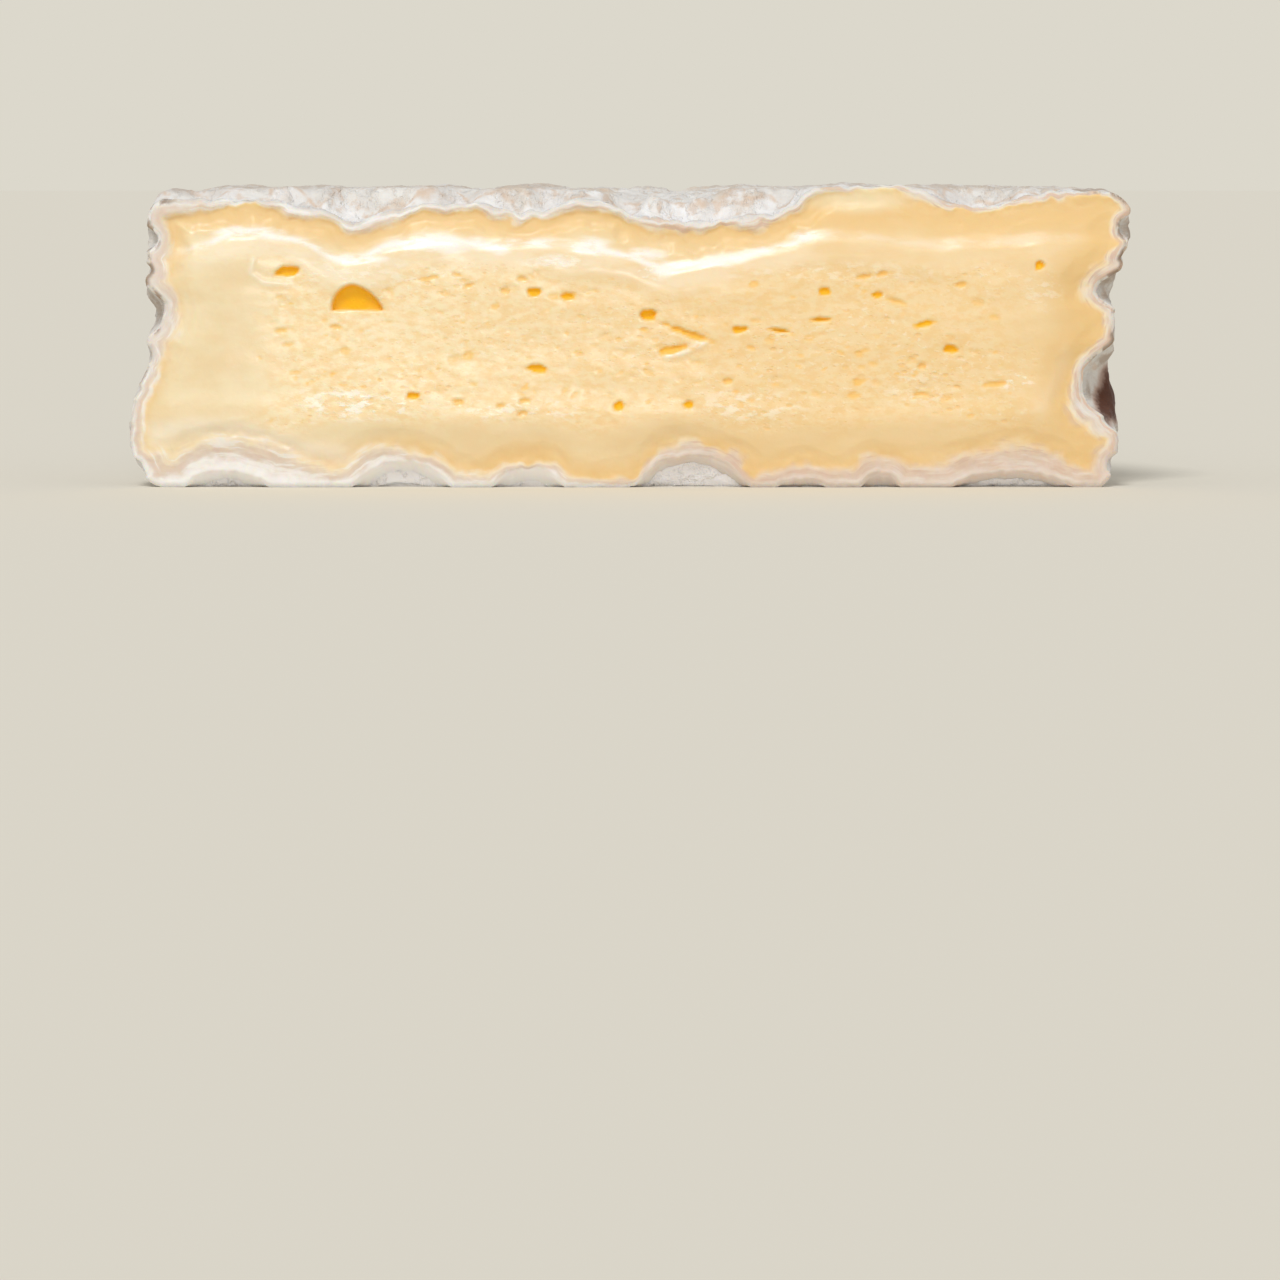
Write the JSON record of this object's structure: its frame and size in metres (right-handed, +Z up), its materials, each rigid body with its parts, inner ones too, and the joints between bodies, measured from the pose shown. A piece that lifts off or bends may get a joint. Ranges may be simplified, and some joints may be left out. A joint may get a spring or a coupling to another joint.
{
  "type": "half brie wheel",
  "caption": "Half of a small soft-ripened white-rind cheese wheel, cut through its middle, lying on its flat side with the swollen paste and its eyes showing on the cut.",
  "frame": {"origin": "middle of the half wheel's bounding box, on the surface it rests on", "axes": "+X along the cut from its left end to its right end, +Y from the cut towards the round wall, +Z up along the wheel's axis"},
  "size_m": [0.1104, 0.0558, 0.0337],
  "materials": {
    "cheese": null
  },
  "bodies": {
    "root": {"half_wheel": "cheese"}
  },
  "joints": []
}
